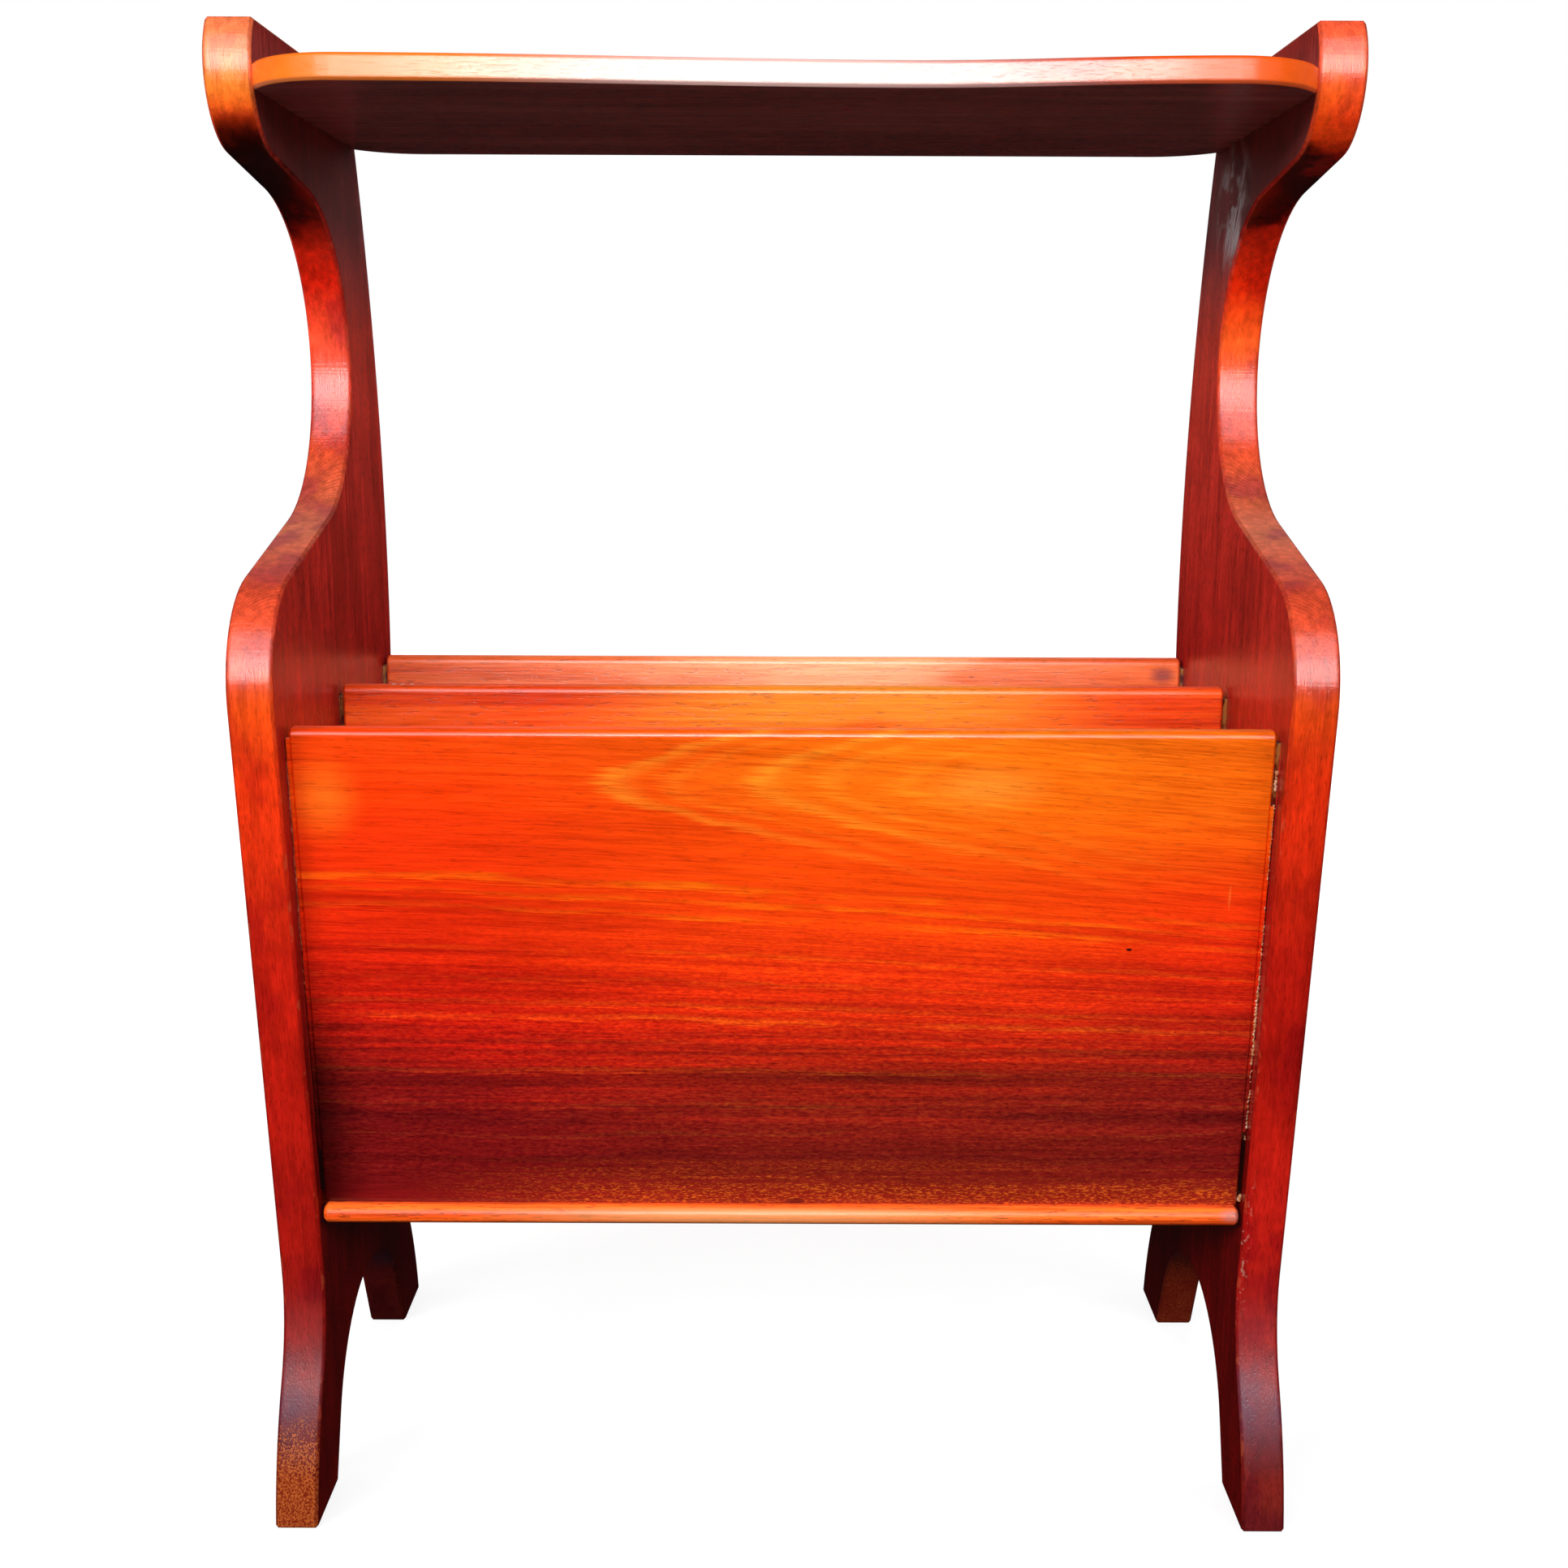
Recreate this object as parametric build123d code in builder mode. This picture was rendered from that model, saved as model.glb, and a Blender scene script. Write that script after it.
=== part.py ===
from build123d import *
import os
from math import atan2, cos, radians, sin, sqrt

# Magazine rack of solid boards: two scroll-cut ends carry a top shelf and a trough with two pockets.
# Millimetres, +Z up. The front faces -Y, and the origin is on the floor under the middle of the rack.

# Overall size
width = 450.0
depth = 222.0
height = 637.5

# Board thicknesses
end_thickness = 19.0
shelf_thickness = 10.0
panel_thickness = 10.0
bottom_thickness = 9.0

# Feet of an end: a splayed foot at each corner with an arch between them
toe_radius = 170.0
toe_angle = 7.8  # lean of the toe at the floor, in degrees from upright
kick_angle = 29.5  # steepest lean of the foot, in degrees from upright
ankle_radius = 80.0
foot_length = 37.0
arch_flare = 7.0  # how far each leg of the arch spreads outside its round crown
arch_crown = 70.5

# Trough heights
bottom_height = 133.0  # underside of the bottom board
trough_height = 360.0  # top edge of the front panel
divider_rise = 4.0  # how far the divider stands above the front panel
rear_panel_rise = 5.0  # how far the rear panel stands above the front panel

# Upper outline of an end, with insets from the toe line at the front or the heel line at the back
bulge_radius = 49.0
bulge_inset = 2.5
bulge_rise = 14.0  # centre of the bulge above the top of the trough
shoulder_rise = 15.0  # lowest point of the waist above the top of the bulge
neck_drop = 6.5  # highest point of the waist below the bottom of the scroll
neck_width = 54.0
scroll_radius = 30.0
scroll_inset = 21.5
scroll_drop = 19.0  # centre of the scroll below the top
back_radius = 640.0
back_inset = 1.2
back_rise = 33.0  # rearmost point of the back curve above the centre of the bulge

# Rounded corners, and arrises taken off with a plane
end_corner_radius = 1.5
end_arris = 1.2
shelf_arris = 1.2
panel_top_radius = 3.0
panel_end_arris = 0.8
bottom_end_arris = 1.4

# Trough layout
panel_setback = 12.0  # top of the front panel behind the front of the bulge
nose_projection = 5.5  # rounded front edge of the bottom board ahead of the front panel

# Tongues on the ends of the trough boards, in stopped grooves in the rack's ends
shoulder_gap = 2.2  # gap left between the shoulder of a board and the end
tongue_thickness = 6.0
tongue_length = 7.0
tongue_stop = 5.0  # the tongue stops this far from the top and bottom of a panel
bottom_tongue_stop = 20.0  # the tongue stops this far from the nose of the bottom board
groove_side_clearance = 0.1
groove_end_clearance = 0.5

# Shelf
shelf_drop = 17.5  # top of the shelf below the top of the ends
shelf_end_inset = 1.0  # edges of the shelf inside the edges of the end, where they meet
shelf_front_overhang = 20.0
shelf_rear_overhang = 15.0
shelf_corner_radius = 40.0
shelf_hollow_depth = 11.5
shelf_hollow_offset = 50.0  # deepest point of the hollow front, to the right of the middle

# Dowels between the shelf and the ends
dowel_diameter = 6.0
dowel_length = 30.0
dowel_depth_in_end = 12.0
dowel_pitch = 58.0
dowel_count = 3
dowel_chamfer = 0.6
dowel_clearance = 0.1

# Shared faces and heights
inner_half = width / 2 - end_thickness
front_line = -depth / 2
bottom_top = bottom_height + bottom_thickness
shelf_top = height - shelf_drop
shelf_height = shelf_top - shelf_thickness
bulge_height = trough_height + bulge_rise
scroll_height = height - scroll_drop
back_height = bulge_height + back_rise


def tangent_run(first, second):
    """Ends of the straight run between two circles, going clockwise round an end's outline.

    A circle is its centre and its radius, which is negative where the outline is hollow.
    """
    (first_centre, first_radius), (second_centre, second_radius) = first, second
    span = second_centre - first_centre
    along = span.normalized()
    outward = Vector(-along.Y, along.X)
    lean = (first_radius - second_radius) / span.length
    normal = along * lean + outward * sqrt(1 - lean**2)
    return first_centre + normal * first_radius, second_centre + normal * second_radius


def arc_between(circle, start, end):
    """Arc of a circle of the outline, the short way from one of its points to another."""
    centre, radius = circle
    middle = ((start - centre).normalized() + (end - centre).normalized()).normalized()
    return ThreePointArc(start, centre + middle * abs(radius), end)


def flip(point):
    """The same point seen from the other side of the rack, front for back."""
    return Vector(-point.X, point.Y)


def back_edge_at(z):
    """Place of the curved back edge of an end at a height."""
    return back_circle[0].X + sqrt(back_radius**2 - (z - back_height) ** 2)


# Foot: the toe's round belly runs into the hollow of the ankle where the foot leans most
toe_lean = radians(toe_angle)
kick_lean = radians(kick_angle)
toe_tip = Vector(front_line, 0)
toe_circle = (toe_tip + Vector(cos(toe_lean), -sin(toe_lean)) * toe_radius, toe_radius)
kick_point = toe_circle[0] + Vector(-cos(kick_lean), sin(kick_lean)) * toe_radius
ankle_circle = (kick_point + Vector(-cos(kick_lean), sin(kick_lean)) * ankle_radius, -ankle_radius)
rear_toe_circle = (flip(toe_circle[0]), toe_radius)
rear_ankle_circle = (flip(ankle_circle[0]), -ankle_radius)

# Arch between the feet
arch_foot = Vector(front_line + foot_length, 0)
arch_radius = -arch_foot.X - arch_flare
arch_circle = (Vector(0, arch_crown - arch_radius), -arch_radius)

# Bulge beside the trough, waist, scroll under the shelf, and the long curve of the back
bulge_circle = (Vector(front_line + bulge_inset + bulge_radius, bulge_height), bulge_radius)
scroll_circle = (Vector(front_line + scroll_inset + scroll_radius, scroll_height), scroll_radius)
back_circle = (Vector(-front_line - back_inset - back_radius, back_height), back_radius)
waist_low = bulge_height + bulge_radius + shoulder_rise
waist_high = scroll_height - scroll_radius - neck_drop
waist_radius = (waist_high - waist_low) / 2
waist_height = (waist_high + waist_low) / 2
waist_circle = (Vector(back_edge_at(waist_height) - neck_width - waist_radius, waist_height), -waist_radius)

# Straight runs between the circles, and the corners at the top
shin_start, shin_end = tangent_run(ankle_circle, bulge_circle)
shoulder_start, shoulder_end = tangent_run(bulge_circle, waist_circle)
neck_start, neck_end = tangent_run(waist_circle, scroll_circle)
calf_start, calf_end = tangent_run(back_circle, rear_ankle_circle)
arch_start, arch_end = tangent_run((flip(arch_foot), 0), arch_circle)
scroll_top = Vector(scroll_circle[0].X - sqrt(scroll_radius**2 - scroll_drop**2), height)
back_top = Vector(back_edge_at(height), height)

# Boards of the trough: the panels lean with the front and back edges of the ends
nose_height = bottom_height + bottom_thickness / 2
nose_share = (nose_height - shin_start.Y) / (shin_end.Y - shin_start.Y)
nose_front = shin_start.X + (shin_end.X - shin_start.X) * nose_share
panel_foot = nose_front + nose_projection
panel_head = front_line + bulge_inset + panel_setback
panel_lean = (panel_foot - panel_head) / (trough_height - bottom_top)
panel_level_thickness = panel_thickness / cos(atan2(panel_lean, 1))
tongue_reach = inner_half + tongue_length


def front_panel_middle(z):
    """Middle of the front panel's thickness at a height."""
    return panel_foot - panel_lean * (z - bottom_top) + panel_level_thickness / 2


def rear_panel_middle(z):
    """Middle of the rear panel's thickness at a height: it leans back as the front one leans forward."""
    return -front_panel_middle(z)


def divider_middle(z):
    """The divider stands upright in the middle of the rack."""
    return 0.0


def board_section(middle, low, high, level_thickness):
    """Section of an upright board, cut level at two heights."""
    half = level_thickness / 2
    corners = [
        (middle(low) - half, low),
        (middle(high) - half, high),
        (middle(high) + half, high),
        (middle(low) + half, low),
    ]
    return Polygon(*corners, align=None)


# Middle line, top edge and thickness, measured level, of each upright board
front_panel_board = (front_panel_middle, trough_height, panel_level_thickness)
divider_board = (divider_middle, trough_height + divider_rise, panel_thickness)
rear_panel_board = (rear_panel_middle, trough_height + rear_panel_rise, panel_level_thickness)


def make_upright_board(middle, top, level_thickness):
    """A panel with a rounded top edge, and a stopped tongue on each end."""
    with BuildPart() as board:
        with BuildSketch(Plane.YZ):
            board_section(middle, bottom_top, top, level_thickness)
        extrude(amount=inner_half - shoulder_gap, both=True)
        fillet(board.edges().filter_by(Axis.X).group_by(Axis.Z)[-1], panel_top_radius)
        end_faces = board.faces().filter_by(Axis.X)
        chamfer([edge for face in end_faces for edge in face.edges().sort_by(Axis.Z)[1:]], panel_end_arris)
        with BuildSketch(Plane.YZ):
            board_section(middle, bottom_top + tongue_stop, top - tongue_stop, tongue_thickness)
        extrude(amount=tongue_reach, both=True)
    return board


# Dowel places, spread along the joint between the shelf and an end
shelf_end_front = front_line + scroll_inset + shelf_end_inset
shelf_end_rear = back_edge_at(shelf_top) - shelf_end_inset
dowel_middle = (shelf_end_front + shelf_end_rear) / 2
dowel_height = shelf_height + shelf_thickness / 2
dowel_first = dowel_middle - dowel_pitch * (dowel_count - 1) / 2
dowel_places = [(dowel_first + dowel_pitch * step, dowel_height) for step in range(dowel_count)]
dowel_hole_radius = dowel_diameter / 2 + dowel_clearance

# Bottom board with a half-round nose at the front and back, and a stopped tongue on each end
bottom_half_depth = -nose_front
bottom_tongue_half = bottom_half_depth - bottom_tongue_stop

with BuildPart() as bottom_board:
    with BuildSketch(Plane.YZ):
        with Locations((0, nose_height)):
            SlotOverall(bottom_half_depth * 2, bottom_thickness)
    extrude(amount=inner_half - shoulder_gap, both=True)
    chamfer(bottom_board.faces().filter_by(Axis.X).edges(), bottom_end_arris)
    with BuildSketch(Plane.YZ):
        with Locations((0, nose_height)):
            Rectangle(bottom_tongue_half * 2, tongue_thickness)
    extrude(amount=tongue_reach, both=True)

# Upright boards of the trough
front_panel = make_upright_board(*front_panel_board)
middle_divider = make_upright_board(*divider_board)
rear_panel = make_upright_board(*rear_panel_board)

# Left end: the scroll-cut board, with grooves for the trough and holes for the shelf's dowels
with BuildPart() as left_end:
    with BuildSketch(Plane.YZ.offset(-width / 2)):
        with BuildLine():
            arc_between(toe_circle, toe_tip, kick_point)
            arc_between(ankle_circle, kick_point, shin_start)
            Line(shin_start, shin_end)
            arc_between(bulge_circle, shin_end, shoulder_start)
            Line(shoulder_start, shoulder_end)
            arc_between(waist_circle, shoulder_end, neck_start)
            Line(neck_start, neck_end)
            arc_between(scroll_circle, neck_end, scroll_top)
            Line(scroll_top, back_top)
            arc_between(back_circle, back_top, calf_start)
            Line(calf_start, calf_end)
            arc_between(rear_ankle_circle, calf_end, flip(kick_point))
            arc_between(rear_toe_circle, flip(kick_point), flip(toe_tip))
            Line(flip(toe_tip), flip(arch_foot))
            Line(flip(arch_foot), arch_end)
            arc_between(arch_circle, arch_end, flip(arch_end))
            Line(flip(arch_end), arch_foot)
            Line(arch_foot, toe_tip)
        make_face()
    extrude(amount=end_thickness)
    corner_edges = left_end.edges().filter_by(Axis.X).group_by(Axis.Z)
    fillet(corner_edges[0] + corner_edges[-1], end_corner_radius)
    chamfer(left_end.faces().filter_by(Axis.X).edges(), end_arris)

    with BuildSketch(Plane.YZ.offset(-inner_half)):
        for middle, top, _ in (front_panel_board, divider_board, rear_panel_board):
            groove_low = bottom_top + tongue_stop - groove_side_clearance
            groove_high = top - tongue_stop + groove_side_clearance
            board_section(middle, groove_low, groove_high, tongue_thickness + 2 * groove_side_clearance)
        with Locations((0, nose_height)):
            groove_width = 2 * (bottom_tongue_half + groove_side_clearance)
            Rectangle(groove_width, tongue_thickness + 2 * groove_side_clearance)
    extrude(amount=-tongue_length - groove_end_clearance, mode=Mode.SUBTRACT)

    with BuildSketch(Plane.YZ.offset(-inner_half)):
        with Locations(*dowel_places):
            Circle(dowel_hole_radius)
    extrude(amount=-dowel_depth_in_end - groove_end_clearance, mode=Mode.SUBTRACT)

# Right end: the left one mirrored
with BuildPart() as right_end:
    mirror(left_end.part, about=Plane.YZ)

# Top shelf: rounded corners reach past the ends, and the front edge is gently hollow
shelf_front = shelf_end_front - shelf_front_overhang
shelf_rear = shelf_end_rear + shelf_rear_overhang
front_run = sqrt(2 * shelf_corner_radius * shelf_front_overhang - shelf_front_overhang**2)
rear_run = sqrt(2 * shelf_corner_radius * shelf_rear_overhang - shelf_rear_overhang**2)
front_corner = Vector(inner_half - front_run, shelf_front)
rear_corner = Vector(inner_half - rear_run, shelf_rear)
front_join = Vector(inner_half, shelf_end_front)
rear_join = Vector(inner_half, shelf_end_rear)
hollow = Vector(shelf_hollow_offset, shelf_front + shelf_hollow_depth)
level = (1, 0)
dowel_depth_in_shelf = dowel_length - dowel_depth_in_end + groove_end_clearance

with BuildPart() as top_shelf:
    with BuildSketch(Plane.XY.offset(shelf_height)):
        with BuildLine():
            Spline(flip(front_corner), hollow, front_corner, tangents=[level, level, level])
            TangentArc(front_corner, front_join, tangent=level)
            Line(front_join, rear_join)
            TangentArc(rear_corner, rear_join, tangent=level)
            Line(rear_corner, flip(rear_corner))
            TangentArc(flip(rear_corner), flip(rear_join), tangent=(-1, 0))
            Line(flip(rear_join), flip(front_join))
            TangentArc(flip(front_corner), flip(front_join), tangent=(-1, 0))
        make_face()
    extrude(amount=shelf_thickness)
    chamfer(top_shelf.faces().filter_by(Axis.Z).edges().filter_by(Axis.Y, reverse=True), shelf_arris)
    for side in (-1, 1):
        with BuildSketch(Plane.YZ.offset(side * inner_half)):
            with Locations(*dowel_places):
                Circle(dowel_hole_radius)
        extrude(amount=-side * dowel_depth_in_shelf, mode=Mode.SUBTRACT)

# Dowels, the same set at each end of the shelf
with BuildPart() as left_shelf_dowels:
    with BuildSketch(Plane.YZ.offset(-inner_half - dowel_depth_in_end)):
        with Locations(*dowel_places):
            Circle(dowel_diameter / 2)
    extrude(amount=dowel_length)
    chamfer(left_shelf_dowels.faces().filter_by(Axis.X).edges(), dowel_chamfer)

with BuildPart() as right_shelf_dowels:
    mirror(left_shelf_dowels.part, about=Plane.YZ)

pieces = {
    "left_end": left_end,
    "right_end": right_end,
    "top_shelf": top_shelf,
    "front_panel": front_panel,
    "middle_divider": middle_divider,
    "rear_panel": rear_panel,
    "bottom_board": bottom_board,
    "left_shelf_dowels": left_shelf_dowels,
    "right_shelf_dowels": right_shelf_dowels,
}
os.makedirs("parts", exist_ok=True)
for name, piece in pieces.items():
    piece.part.label = name
    export_step(piece.part, f"parts/{name}.step")
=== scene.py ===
import random
from collections import namedtuple
from math import pi, radians

import bmesh
import bpy
from mathutils import Matrix, Vector


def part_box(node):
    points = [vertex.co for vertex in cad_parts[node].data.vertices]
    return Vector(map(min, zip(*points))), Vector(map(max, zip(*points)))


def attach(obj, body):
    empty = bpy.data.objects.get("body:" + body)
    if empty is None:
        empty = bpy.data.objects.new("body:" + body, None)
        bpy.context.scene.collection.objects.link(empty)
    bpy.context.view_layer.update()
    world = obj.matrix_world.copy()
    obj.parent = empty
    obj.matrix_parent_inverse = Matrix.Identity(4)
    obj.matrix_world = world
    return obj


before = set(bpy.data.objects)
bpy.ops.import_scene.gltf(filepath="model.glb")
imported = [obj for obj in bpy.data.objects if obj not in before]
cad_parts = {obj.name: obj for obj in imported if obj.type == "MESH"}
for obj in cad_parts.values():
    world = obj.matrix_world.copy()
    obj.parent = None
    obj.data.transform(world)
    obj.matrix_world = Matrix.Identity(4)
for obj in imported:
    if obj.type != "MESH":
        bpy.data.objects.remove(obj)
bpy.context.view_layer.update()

MM = 0.001

# Camera, solved from the outlines of the two ends in the photograph
PHOTO_SIZE = 1932
FOCAL_PX = 2165.0
SENSOR_MM = 36.0
CAMERA_PLACE = (0.0006, -0.8091, 0.4876)
CAMERA_PITCH = 11.89
CAMERA_ROLL = 0.22

# Strength of the world as a lamp, and the share of the white background that shows in the varnish
AMBIENT = 0.008
GLOSS_SHARE = 0.006

# Floor: radius in metres, greys for the camera and for other rays, and the glow beside the rack,
# which rises to white between two distances in millimetres
FLOOR_RADIUS = 9.0
FLOOR_SEEN = (0.25, 0.25, 0.25)
FLOOR_BOUNCE = (0.04, 0.04, 0.04)
FLOOR_GLOW = 0.82
FLOOR_FADE = (300.0, 1500.0)
BLACK = (0.0, 0.0, 0.0)
WHITE = (1.0, 1.0, 1.0)

# Varnish: the share of the wood's slope left where it is levelled, the added roughness of dusty tops,
# and how far a face looks up where the dust starts and is full
LEVELLED_SLOPE = 0.66
DUST_ROUGHNESS = 0.45
DUSTY_FROM = 0.8
DUSTY_FULL = 0.97

# Axes that the grain follows
ALONG_X = 0
UPRIGHT = 2

# Width of the joints beside the trough's boards, and the front panel's lean outwards per millimetre of height
JOINT_GAP = 2.2
PANEL_LEAN = 0.084

# Colours in the joints, and the height above which those of the front panel show raw wood
# Open gaps are painted near black as shade, and higher up a red stain with painted shade
SHADED_OPEN_JOINT = (0.010, 0.003, 0.002)
STAINED_AND_SHADED_JOINT = (0.13, 0.010, 0.006)
RAW_WOOD = (0.42, 0.17, 0.035)
# A painted shadow line beside the filler, and painted light on the end's face beside the front panel
FILLER_SHADOW_LINE = (0.07, 0.004, 0.003)
JOINT_PAINTED_LIGHT = (0.85, 0.030, 0.020)
PANEL_RAW_FROM = 330.0

# Front panel: colours by height, from the dark foot, partly painted shade, to the amber top
PANEL_COLOURS = (
    (145.0, (0.19, 0.009, 0.006)),
    (170.0, (0.22, 0.010, 0.006)),
    (188.0, (0.27, 0.012, 0.006)),
    (204.0, (0.42, 0.015, 0.005)),
    (224.0, (0.66, 0.020, 0.004)),
    (248.0, (0.84, 0.030, 0.003)),
    (275.0, (0.95, 0.052, 0.002)),
    (320.0, (0.96, 0.075, 0.001)),
    (352.0, (0.96, 0.115, 0.002)),
)

# Its tint at the sides, the colours of its loops, the tints of its mottle and the colours of its flecks
PANEL_REDDER = (1.0, 0.35, 1.0)
AMBER = (0.97, 0.20, 0.004)
PALE_AMBER = (0.98, 0.34, 0.02)
BRIGHT_SCALES = (1.18, 2.0, 1.2)
DARK_SCALES = (0.70, 0.58, 0.75)
FLECKED_GROUND = (0.36, 0.020, 0.007)
GOLD_FLECKS = (0.84, 0.15, 0.013)

# Drop of its growth lines towards the right, power of their curve, and rise of the dark foot at the sides
GROWTH_DROP = 23.0
DROP_POWER = 1.6
FOOT_RISE = 17.0

# Its pale streaks, then the dark ones low down: height, half width and strength
PALE_STREAKS = (
    (297.0, 2.6, 0.8), (291.0, 2.0, 0.5), (284.0, 2.0, 0.5), (266.0, 1.6, 0.4), (252.0, 1.2, 0.35),
    (240.0, 1.8, 0.5), (233.0, 2.4, 0.7), (221.0, 1.2, 0.4), (207.0, 1.8, 0.6), (190.0, 1.4, 0.5),
    (176.0, 1.2, 0.4),
)
DARK_STREAKS = (
    (216.0, 2.0, 0.4), (204.0, 3.5, 0.55), (193.0, 2.0, 0.4), (184.0, 6.0, 0.5), (165.0, 3.0, 0.35),
)

# Both kinds of streak: list, changes along X per millimetre, noise where they break and are whole, and tint
STREAK_KINDS = (
    (PALE_STREAKS, 0.014, 0.34, 0.56, (1.25, 4.0, 1.5)),
    (DARK_STREAKS, 0.010, 0.36, 0.58, (0.38, 0.5, 0.9)),
)

# Its paler growth loops: height of their axis, roundness at the apex, how much longer than high they are,
# and how far a rim takes to brighten
LOOP_AXIS = 338.0
LOOP_ROUNDNESS = 8.0
LOOP_STRETCH = 4.0
LOOP_RISE = 11.0

# One loop each: level at the apex, how far the pale side fades and its strength
GROWTH_LOOPS = (
    (-72.0, 15.0, 0.5), (-46.0, 8.0, 0.2), (-13.0, 13.0, 0.5), (16.0, 8.0, 0.25), (48.0, 10.0, 0.2),
)

# Ends: colours of the broad faces, the cut edges and the edges behind, by height
# The faces are painted darker towards the feet and beside the shelf as shade, with a painted grey sheen below
# it
END_FACE_COLOURS = (
    (60.0, (0.19, 0.003, 0.002)),
    (140.0, (0.25, 0.004, 0.003)),
    (360.0, (0.37, 0.010, 0.007)),
    (470.0, (0.68, 0.038, 0.022)),
    (525.0, (0.82, 0.060, 0.032)),
    (575.0, (0.34, 0.075, 0.075)),
    (637.0, (0.26, 0.018, 0.012)),
)
# The cut edges near the top of the scroll are paler, in part a painted highlight
END_CUT_COLOURS = (
    (0.0, (0.14, 0.012, 0.008)),
    (40.0, (0.16, 0.010, 0.008)),
    (75.0, (0.27, 0.012, 0.010)),
    (120.0, (0.40, 0.009, 0.005)),
    (200.0, (0.50, 0.010, 0.004)),
    (260.0, (0.58, 0.013, 0.004)),
    (340.0, (0.94, 0.042, 0.004)),
    (372.0, (0.92, 0.080, 0.006)),
    (396.0, (0.78, 0.080, 0.025)),
    (420.0, (0.54, 0.055, 0.022)),
    (436.0, (0.52, 0.120, 0.056)),
    (470.0, (0.65, 0.065, 0.020)),
    (500.0, (0.80, 0.050, 0.016)),
    (522.0, (0.95, 0.078, 0.028)),
    (546.0, (0.84, 0.016, 0.003)),
    (586.0, (0.80, 0.024, 0.004)),
    (600.0, (1.00, 0.072, 0.005)),
    (611.0, (0.96, 0.150, 0.015)),
    (622.0, (0.92, 0.145, 0.042)),
    (637.0, (0.74, 0.110, 0.040)),
)
END_BACK_COLOURS = (
    (60.0, (0.20, 0.006, 0.005)),
    (150.0, (0.45, 0.010, 0.005)),
    (600.0, (0.74, 0.030, 0.006)),
)

# Colours of their tops, worn places and painted violet sheen, and the tint of their blotches
END_TOP = (0.62, 0.030, 0.008)
PURPLE_STAIN = (0.85, 0.55, 1.4)
RUBBED_WOOD = (0.78, 0.14, 0.05)
VIOLET_SHEEN = (0.11, 0.045, 0.085)
BARE_WOOD = ((0.20, 0.016, 0.005), (0.50, 0.110, 0.022))
SCUFFED_WOOD = ((0.15, 0.008, 0.004), (0.34, 0.062, 0.015))
PALE_DUST = (0.62, 0.33, 0.25)

# Width of the growth rings on their shoulders
RING_WIDTH = 1.7

# Zones by height on the panel and the ends: start, full from, full to and end
DEEP_RED_ZONE = (215.0, 250.0, 285.0, 322.0)
MOTTLED_ZONE = (146.0, 160.0, 205.0, 305.0)
JOINT_LIGHT_ZONE = (172.0, 190.0, 350.0, 358.0)
NECK_ZONE = (485.0, 520.0, 550.0, 575.0)
SHIN_ZONE = (190.0, 230.0, 350.0, 390.0)
SHEEN_ZONE = (30.0, 55.0, 56.0, 78.0)
DUST_ZONE = (85.0, 105.0, 145.0, 165.0)

# What differs between the ends: seed of the figure, tint of the scroll, yellower on the left as a painted
# highlight in part, tints of zones, brightness of the ankle, slope at which the painted shade of downward
# edges starts, how bright it is, height of the bare foot, and whether there are marks of age and a painted
# reflection
EndLook = namedtuple("EndLook", "seed scroll_tint zone_tints ankle_light stain_from stain_light bare_to aged")
LEFT_END = EndLook(
    seed=301.0,
    scroll_tint=(1.0, 1.4, 1.4),
    zone_tints=(),
    ankle_light=1.0,
    stain_from=-0.46,
    stain_light=0.06,
    bare_to=39.0,
    aged=False,
)
RIGHT_END = EndLook(
    seed=351.0,
    scroll_tint=(1.0, 0.75, 0.75),
    zone_tints=((NECK_ZONE, (1.18, 1.6, 0.5)), (SHIN_ZONE, (0.80, 0.68, 0.80))),
    ankle_light=1.4,
    stain_from=-0.78,
    stain_light=0.16,
    bare_to=-20.0,
    aged=True,
)

# Plain boards: steps of the figure with the dark, middle and light colour, and the tint of their backs
FIGURE_STEPS = (0.3, 0.5, 0.7)
BACK_TINT = (0.75, 0.40, 0.35)

# Dowels and old glue: colours by steps of their figure, and the stain of the glue in the left joint
DOWEL_COLOURS = ((0.3, (0.48, 0.26, 0.11)), (0.7, (0.62, 0.38, 0.18)))
GLUE_COLOURS = ((0.35, (0.50, 0.15, 0.04)), (0.5, (0.76, 0.36, 0.17)), (0.65, (0.92, 0.64, 0.46)))
GLUE_STAIN = (0.95, 0.40, 0.30)

# Dried glue in the right joint of the front panel: top, foot, number of crumbs and their radius
RIGHT_GLUE = (
    (343.0, 335.0, 10, 0.7), (329.0, 294.0, 30, 0.45), (284.0, 281.0, 3, 0.4), (277.0, 258.0, 18, 0.45),
    (258.0, 247.0, 14, 0.6), (247.0, 211.0, 48, 0.75), (208.0, 202.0, 5, 0.4), (198.0, 179.0, 18, 0.65),
    (176.0, 174.0, 2, 0.4), (146.0, 143.5, 6, 0.8),
)

# The thin bead of glue in its left joint, in the same terms
LEFT_GLUE = ((346.0, 262.0, 110, 0.24), (262.0, 240.0, 9, 0.2))

# Both joints: side, groups of crumbs, distance from the end, spread, upright stretch and depth in the joint
GLUED_JOINTS = ((1, RIGHT_GLUE, 0.85, 0.3, 1.2, 0.6), (-1, LEFT_GLUE, 0.4, 0.1, 4.0, 0.9))
CRUMB_DEPTH = 1.3

# Filler that closes the joints of the front panel: side, foot and top, then its depth and the spacing of rows
JOINT_FILLERS = ((-1, 168.0, 356.0), (1, 178.0, 328.0))
FILLER_DEPTH = 1.8
FILLER_STEP = 2.0

# A stain, a worn place, a painted highlight or reflection: an ellipsoid in millimetres, its colour, its
# strength and how soft its rim is
Mark = namedtuple("Mark", "centre radii tint strength soft", defaults=(0.5,))


def box_mm(node):
    """Lowest and highest corner of a CAD node, in millimetres."""
    low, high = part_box(node)
    return low / MM, high / MM


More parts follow.
